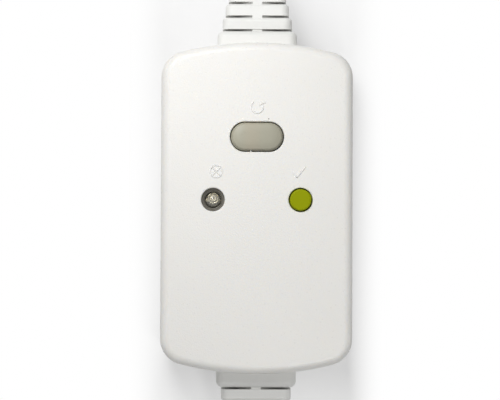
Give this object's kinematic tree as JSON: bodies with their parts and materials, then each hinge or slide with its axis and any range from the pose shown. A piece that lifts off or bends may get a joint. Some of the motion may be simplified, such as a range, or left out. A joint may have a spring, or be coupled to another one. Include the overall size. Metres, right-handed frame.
{
  "type": "in-line residual current device",
  "caption": "White in-line residual current device for a portable cord, with reset and test buttons, an indicator lamp and a ribbed cord guard at each end.",
  "frame": {"origin": "under the middle of the case, on the surface the back lies on", "axes": "+Y along the cord towards the supply side, +Z out of the front face through the buttons, +X across the case towards the test button"},
  "size_m": [0.06, 0.1616, 0.0373],
  "materials": {
    "case_plastic": "white moulded plastic with a fine spark-eroded texture",
    "guard_plastic": "white flexible moulded plastic, smooth",
    "reset_plastic": "warm grey moulded plastic, satin",
    "test_plastic": "yellow-green moulded plastic, satin",
    "lamp_lens": "clear cast resin",
    "holder_plastic": "black moulded plastic",
    "mechanism_plastic": "dark grey moulded plastic",
    "clamp_plastic": "pale grey moulded plastic",
    "steel": "zinc-plated steel",
    "spring_steel": "drawn spring wire",
    "brass": "machined brass",
    "copper": "bare copper alloy strip and enamelled wire",
    "contact_silver": "silver alloy rivets",
    "board_laminate": "green board laminate",
    "ring_resin": "dark blue dipped resin",
    "capacitor_film": "yellow moulded box",
    "component_black": "black moulded packages",
    "resistor_body": "tan lacquered bodies"
  },
  "bodies": {
    "case": {"board_screws": "steel", "case_screws": "steel", "circuit_board": "board_laminate", "clamp_screws": "steel", "coil_bobbin": "mechanism_plastic", "coil_winding": "copper", "coil_yoke": "steel", "control_chip": "component_black", "current_transformer": "ring_resin", "diodes": "component_black", "earth_strap": "copper", "electrolytic_capacitor": "component_black", "film_capacitor": "capacitor_film", "fixed_contact_tips": "contact_silver", "front_cover": "case_plastic", "indicator_lamp": "lamp_lens", "lamp_holder": "holder_plastic", "line_cord_clamp": "clamp_plastic", "line_cord_guard": "guard_plastic", "line_earth_terminal": "brass", "line_live_terminal": "brass", "line_neutral_terminal": "brass", "live_fixed_contact": "copper", "live_load_busbar": "copper", "load_cord_clamp": "clamp_plastic", "load_cord_guard": "guard_plastic", "load_earth_terminal": "brass", "load_live_terminal": "brass", "load_neutral_terminal": "brass", "mechanism_frame": "mechanism_plastic", "neutral_fixed_contact": "copper", "neutral_load_busbar": "copper", "plunger_spring": "spring_steel", "rear_cover": "case_plastic", "reset_spring": "spring_steel", "resistors": "resistor_body", "terminal_screws": "steel", "test_contact": "brass", "test_leaf_post": "brass", "thyristor": "component_black", "varistor": "ring_resin"},
    "reset_actuator": {"reset_button": "reset_plastic", "reset_pin": "steel"},
    "lifter_block": {"lifter": "mechanism_plastic", "latch_spring": "spring_steel"},
    "latch": {"latch_plate": "steel"},
    "contact_arms": {"live_contact_arm": "copper", "neutral_contact_arm": "copper", "moving_contact_tips": "contact_silver"},
    "plunger_rod": {"plunger": "steel"},
    "test_actuator": {"test_button": "test_plastic"},
    "test_leaf_spring": {"test_leaf": "brass"}
  },
  "joints": [
    {"name": "reset_press", "type": "slide", "parent": "case", "child": "reset_actuator", "axis": [0, 0, -1], "range_m": [0, 0.0025], "stiffness_N_per_m": 700, "springref_m": -0.003, "deforming": ["reset_spring"]},
    {"name": "lifter_drop", "type": "slide", "parent": "case", "child": "lifter_block", "axis": [0, 0, -1], "range_m": [0, 0.0025]},
    {"name": "arms_flex", "type": "hinge", "parent": "case", "child": "contact_arms", "pos_m": [0, -0.00595, 0.01904], "axis": [-1, 0, 0], "range_deg": [0, 5.2]},
    {"name": "plunger_strike", "type": "slide", "parent": "case", "child": "plunger_rod", "axis": [0, 1, 0], "range_m": [0, 0.0018], "stiffness_N_per_m": 300, "springref_m": -0.002, "deforming": ["plunger_spring"]},
    {"name": "latch_release", "type": "slide", "parent": "lifter_block", "child": "latch", "axis": [0, 1, 0], "range_m": [0, 0.0018], "deforming": ["latch_spring"]},
    {"name": "test_press", "type": "slide", "parent": "case", "child": "test_actuator", "axis": [0, 0, -1], "range_m": [0, 0.0012], "stiffness_N_per_m": 500, "springref_m": -0.002},
    {"name": "test_leaf_flex", "type": "hinge", "parent": "case", "child": "test_leaf_spring", "pos_m": [0.01355, -0.008, 0.01415], "axis": [-1, 0, 0], "range_deg": [0, 7.3]}
  ],
  "couplings": [
    {"joint": "lifter_drop", "follows": "reset_press", "ratio": 1},
    {"joint": "arms_flex", "follows": "reset_press", "rad_per_m": 35.088},
    {"joint": "latch_release", "follows": "plunger_strike", "ratio": 1},
    {"joint": "test_leaf_flex", "follows": "test_press", "rad_per_m": 104}
  ]
}
